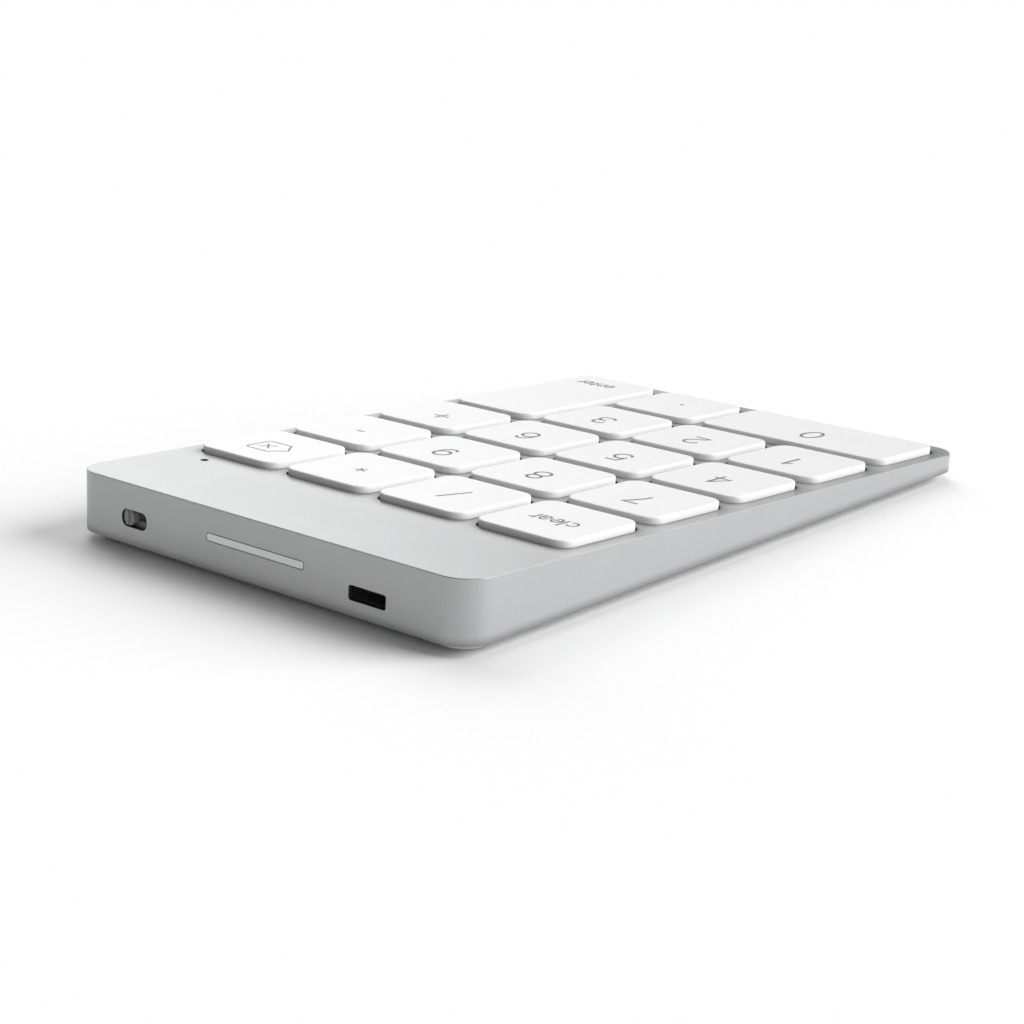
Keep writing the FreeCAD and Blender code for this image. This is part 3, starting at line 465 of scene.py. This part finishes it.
# Digits in a box from -1 to 1 both ways, measured on the middle of the pen.
SIX = [(ring(0, -0.36, 0.98, 0.64), True), (arc(0.03, 0, 1.01, 1.0, 40, 192), False)]
DIGITS = {
    "0": [(ring(0, 0, 1, 1), True)],
    "1": [([(0.3, 1.1), (0.3, -1.1)], False),
          ([(-0.62, 0.6), (-0.15, 0.66), (0.14, 0.84), (0.3, 1.08)], False)],
    "2": [(arc(0, 0.42, 0.97, 0.58, 172, -22) + [(0.42, -0.2), (-0.36, -0.5), (-0.86, -0.76), (-1, -1),
                                                 (1.04, -1)], False)],
    "3": [(arc(-0.03, 0.5, 0.9, 0.5, 168, -90) + [(-0.4, 0)], False),
          ([(-0.4, 0.03)] + arc(-0.03, -0.485, 1.03, 0.515, 90, -170), False)],
    "4": [([(0.43, 0.98), (-1.06, -0.43), (1.12, -0.43)], False), ([(0.47, 1.1), (0.47, -1.1)], False)],
    "5": [([(0.88, 1), (-0.64, 1), (-0.86, -0.1)], False), (arc(0, -0.34, 1, 0.66, 150, -163), False)],
    "6": SIX,
    "7": [([(-1.04, 1), (1.02, 1), (0.5, 0.5), (0.1, -0.05), (-0.19, -0.58), (-0.33, -1.1)], False)],
    "8": [(ring(0, 0.51, 0.83, 0.49), True), (ring(0, -0.46, 0.99, 0.54), True)],
    "9": moved(SIX, 0, 0, -1, -1),
}

# Letters stand on y = 0, in mm, with the outer edge of the ink at x = 0 and the width given first.
BOWL = (X_HEIGHT - WORD_PEN) / 2
HALF_PEN = WORD_PEN / 2
LETTERS = {
    "a": (1.95, [([(1.55, 0)] + arc(0.9, 1.3, 0.65, X_HEIGHT - HALF_PEN - 1.3, 0, 160), False),
                 (ring(0.86, 0.64, 0.69, 0.64 - HALF_PEN), True)]),
    "c": (1.95, [(arc(0.95, X_HEIGHT / 2, 0.77, BOWL, 40, 320), False)]),
    "e": (2.05, [(arc(1.0, X_HEIGHT / 2, 0.82, BOWL, 0, 315), False),
                 ([(0.2, X_HEIGHT / 2), (1.82, X_HEIGHT / 2)], False)]),
    "l": (0.36, [([(HALF_PEN, 0), (HALF_PEN, ASCENDER)], False)]),
    "n": (1.75, [([(HALF_PEN, 0), (HALF_PEN, X_HEIGHT)], False),
                 (arc(0.88, 1.3, 0.69, X_HEIGHT - HALF_PEN - 1.3, 180, 0) + [(1.57, 0)], False)]),
    "r": (1.05, [([(HALF_PEN, 0), (HALF_PEN, X_HEIGHT)], False),
                 (arc(0.98, 1.2, 0.8, X_HEIGHT - HALF_PEN - 1.2, 178, 88), False)]),
    "t": (1.05, [([(0.45, 2.8)] + arc(0.86, 0.58, 0.41, 0.58 - HALF_PEN, 180, 275), False),
                 ([(0, X_HEIGHT - HALF_PEN), (1.02, X_HEIGHT - HALF_PEN)], False)]),
}


def digit(character, size=DIGIT_SIZE, pen=DIGIT_PEN):
    """Strokes of a digit, its middle at the origin."""
    half = [(side - pen) / 2 for side in size]
    return moved(DIGITS[character], 0, 0, *half)


def word(letters):
    """Strokes of a word that stands on y = 0, its middle at x = 0."""
    width = sum(LETTERS[letter][0] for letter in letters) + LETTER_GAP * (len(letters) - 1)
    strokes, x = [], -width / 2
    for letter in letters:
        strokes += moved(LETTERS[letter][1], x, 0)
        x += LETTERS[letter][0] + LETTER_GAP
    return strokes


def star(radius, arms=5):
    """Strokes of an asterisk: one arm points up."""
    turns = [math.radians(90 + 360 * i / arms) for i in range(arms)]
    return [([(0, 0), (radius * math.cos(a), radius * math.sin(a))], False) for a in turns]


def cross(half, turn=0.0):
    """Strokes of a plus sign, or of a multiplication cross when turned."""
    tips = [(half * math.cos(turn + a), half * math.sin(turn + a)) for a in (0, math.pi / 2)]
    return [([(-x, -y), (x, y)], False) for x, y in tips]


def backspace_sign():
    """Strokes of the delete-left sign: a pointed tag round a cross."""
    tip, shoulder, end, top, bend = -3.65, -1.45, 3.2, 2.6, 0.85
    upper = [(tip, 0), (shoulder - 0.35, top - 0.42)]
    upper += arc(shoulder + 0.12, top - bend, bend, bend, 130, 90)
    upper += arc(end - bend, top - bend, bend, bend, 90, 0)
    lower = [(x, -y) for x, y in reversed(upper[1:])]
    return [(upper + lower, True)] + moved(cross(1.5, math.pi / 4), 0.85, 0)


LEGENDS = {name: (digit(name), DIGIT_PEN, DIGIT_SHIFT) for name in DIGITS}
LEGENDS.update({
    "0": (digit("0", ZERO_SIZE, ZERO_PEN), ZERO_PEN, (-0.35, 1.4)),
    "clear": (word("clear"), WORD_PEN, (-0.05, -0.65)),
    "enter": (moved(word("enter"), 0, 0, 0.88), WORD_PEN, (1.5, -13.5)),
    "divide": ([([(-0.9, -2.8), (0.9, 2.8)], False)], SIGN_PEN, (-0.3, 0.6)),
    "multiply": (star(1.05), 0.3, (-0.5, 0.6)),
    "backspace": (backspace_sign(), 0.27, (-0.35, 0.8)),
    "minus": ([([(-0.8, 0), (0.8, 0)], False)], SIGN_PEN, (-0.5, 1.1)),
    "plus": (cross(1.65), SIGN_PEN, (-0.5, 1.45)),
    "point": ([([(-0.32, 0), (0.32, 0)], False)], 0.64, (-0.4, -0.7)),
})


def pen_edges(points, width, closed):
    """Left and right edge of a stroke, mitred at each bend."""
    left, right = [], []
    count = len(points)
    for i in range(count):
        here = Vector(points[i])
        before = Vector(points[i - 1]) if closed or i else None
        after = Vector(points[(i + 1) % count]) if closed or i < count - 1 else None
        ways = [(here - before).normalized()] if before is not None else []
        ways += [(after - here).normalized()] if after is not None else []
        sides = [Vector((-way.y, way.x)) for way in ways]
        side = sum(sides, Vector((0.0, 0.0))).normalized()
        reach = width / 2 * min(MITRE_LIMIT, 1 / max(side.dot(sides[0]), 1e-3))
        left.append(here + side * reach)
        right.append(here - side * reach)
    return left, right


def stroke_prism(points, width, closed):
    """A flat closed bar of ink along a stroke, in mm, standing on z = 0."""
    bm = bmesh.new()
    left, right = pen_edges(points, width, closed)
    depth = INK_RISE + INK_ROOT
    stations = []
    for l, r in zip(left, right):
        stations.append([bm.verts.new((l.x, l.y, 0)), bm.verts.new((r.x, r.y, 0)),
                         bm.verts.new((r.x, r.y, depth)), bm.verts.new((l.x, l.y, depth))])
    pairs = list(zip(stations, stations[1:]))
    if closed:
        pairs.append((stations[-1], stations[0]))
    for a, b in pairs:
        for k in range(4):
            bm.faces.new((a[k], a[(k + 1) % 4], b[(k + 1) % 4], b[k]))
    if not closed:
        bm.faces.new(stations[0][::-1])
        bm.faces.new(stations[-1])
    return new_object("stroke", bm)


def union(things):
    """Joins closed objects that overlap into one closed object."""
    base = things[0]
    for other in things[1:]:
        change = base.modifiers.new("join", "BOOLEAN")
        change.operation, change.solver, change.object = "UNION", "EXACT", other
        bpy.context.view_layer.update()
        solid = base.evaluated_get(bpy.context.evaluated_depsgraph_get())
        joined = bpy.data.meshes.new_from_object(solid)
        base.modifiers.clear()
        base.data = joined
        bpy.data.objects.remove(other)
    return base


def add_legend(name):
    """Prints a key's sign on its cap, as thin ink that moves with the key."""
    strokes, pen, (dx, dy) = LEGENDS[name]
    ink = union([stroke_prism(points, pen, closed) for points, closed in strokes])
    ink.name = f"legend_{name}"
    x0, y0, _ = KEY_MIDDLE[name]
    for vertex in ink.data.vertices:
        x, y, z = vertex.co
        vertex.co = row_point(x0 + (x + dx) * MM, y0 + (y + dy) * MM, CAP_TOP + (z - INK_ROOT) * MM)
    piece(ink, f"key_{name}_cap", INK)


# ---------------------------------------------------------------- parts that give way under a key

DOME_PROFILE = (              # radius and height in mm, from the middle of the top round to the underside
    (0.0, 2.48), (0.55, 2.5), (0.75, 2.58), (1.2, 2.6), (1.35, 2.52), (1.42, 2.2), (1.5, 1.75),
    (1.68, 1.45), (2.0, 1.0), (2.22, 0.62), (2.42, 0.42), (2.72, 0.34), (2.8, 0.24), (2.8, 0.0),
    (2.3, 0.0), (2.05, 0.3), (1.75, 0.8), (1.4, 1.25), (1.1, 1.45), (0.85, 1.4), (0.78, 1.15),
    (0.7, 1.05), (0.0, 1.02))
DOME_SIDES = 40


def add_dome(name):
    """The silicone dome under a key, lathed about the key's middle."""
    bm = bmesh.new()
    x0, y0, _ = KEY_MIDDLE[name]

    def corner(radius, height, turn):
        return bm.verts.new(row_point(x0 + radius * math.cos(turn) * MM, y0 + radius * math.sin(turn) * MM,
                                      MEMBRANE_TOP + height * MM))

    tip, *rings, root = DOME_PROFILE
    turns = [2 * math.pi * i / DOME_SIDES for i in range(DOME_SIDES)]
    top, bottom = corner(*tip, 0), corner(*root, 0)
    loops = [[corner(radius, height, turn) for turn in turns] for radius, height in rings]
    for i in range(DOME_SIDES):
        j = (i + 1) % DOME_SIDES
        bm.faces.new((top, loops[0][i], loops[0][j]))
        bm.faces.new((bottom, loops[-1][j], loops[-1][i]))
        for upper, lower in zip(loops, loops[1:]):
            bm.faces.new((upper[i], lower[i], lower[j], upper[j]))
    dome = piece(new_object(f"dome_{name}", bm, smooth=True), "root", FINISHES["silicone"])
    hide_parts("rubber_domes")
    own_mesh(dome)


def add_scissor(name):
    """The key's scissor, a copy of its CAD node's mesh."""
    mesh = NODES[f"scissor_{name}"].data.copy()
    scissor = bpy.data.objects.new(f"scissor_pair_{name}", mesh)
    bpy.context.scene.collection.objects.link(scissor)
    piece(scissor, "root", FINISHES["scissor_plastic"])
    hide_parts(f"scissor_{name}")
    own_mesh(scissor)


# ---------------------------------------------------------------- camera and studio

CAMERA_AZIMUTH = math.radians(221.792)
CAMERA_ELEVATION = math.radians(16.671)
CAMERA_ROLL = math.radians(0.320)
CAMERA_TARGET = Vector((-21.80, 30.512, 10.097)) * MM
CAMERA_DISTANCE = 306.39 * MM
LENS = 78.23                  # mm, on a 36 mm sensor
FLOOR_SIDE = 12.0
FLOOR_TONE = 0.99
SKY_RADIANCE = 0.04
# Soft distant lights: the way round to each from the part's front towards its right hand, its height over
# the horizon and its apparent width, all in degrees, and the brightness that it alone gives a white floor.
LIGHTS = {
    "side_light": (306, 27, 50, 0.50),
    "low_back_light": (62, 31, 50, 0.21),
    "high_back_light": (40, 55, 50, 0.16),
    "fill_light": (230, 28, 50, 0.10),
}


def add_camera():
    """The camera, behind the part's right hand and looking down over its back wall."""
    back = Vector((math.sin(CAMERA_AZIMUTH) * math.cos(CAMERA_ELEVATION),
                   -math.cos(CAMERA_AZIMUTH) * math.cos(CAMERA_ELEVATION), math.sin(CAMERA_ELEVATION)))
    level = (-back).cross(Vector((0, 0, 1))).normalized()
    right = math.cos(CAMERA_ROLL) * level + math.sin(CAMERA_ROLL) * level.cross(-back)
    up = right.cross(-back)
    data = bpy.data.cameras.new("camera")
    data.lens, data.sensor_width = LENS, 36.0
    data.clip_start, data.clip_end = 10 * MM, 20.0
    camera = bpy.data.objects.new("camera", data)
    bpy.context.scene.collection.objects.link(camera)
    camera.rotation_mode = "QUATERNION"
    camera.rotation_quaternion = Matrix((right, up, back)).transposed().to_quaternion()
    camera.location = CAMERA_TARGET + back * CAMERA_DISTANCE
    bpy.context.scene.camera = camera


def add_floor():
    """A plain pale floor under the part."""
    bm = bmesh.new()
    bmesh.ops.create_grid(bm, x_segments=1, y_segments=1, size=FLOOR_SIDE / 2)
    floor = new_object("floor", bm)
    made = mottled("floor_paper", (FLOOR_TONE,) * 3, contrast=0.0, roughness=(0.9, 1.0), height=0.0)
    made.shader.inputs["Specular IOR Level"].default_value = 0.0
    floor.data.materials.append(made.material)


def add_light():
    """A faint even sky and a few broad soft lights, the strongest at the part's left."""
    world = bpy.data.worlds.new("studio")
    bpy.context.scene.world = world
    world.use_nodes = True
    background = world.node_tree.nodes["Background"]
    background.inputs["Color"].default_value = (1.0, 1.0, 1.0, 1.0)
    background.inputs["Strength"].default_value = SKY_RADIANCE
    for name, (way_round, height, width, brightness) in LIGHTS.items():
        turn, rise = math.radians(way_round), math.radians(height)
        stand = Vector((math.sin(turn) * math.cos(rise), -math.cos(turn) * math.cos(rise), math.sin(rise)))
        light = bpy.data.lights.new(name, "SUN")
        light.energy, light.angle = math.pi * brightness / math.sin(rise), math.radians(width)
        sun = bpy.data.objects.new(name, light)
        sun.rotation_mode = "QUATERNION"
        sun.rotation_quaternion = stand.to_track_quat("Z", "Y")
        bpy.context.scene.collection.objects.link(sun)
    bpy.context.scene.view_settings.view_transform = "Standard"


dress_nodes()
for key in KEY_NAMES:
    add_legend(key)
    add_dome(key)
    add_scissor(key)
add_camera()
add_floor()
add_light()
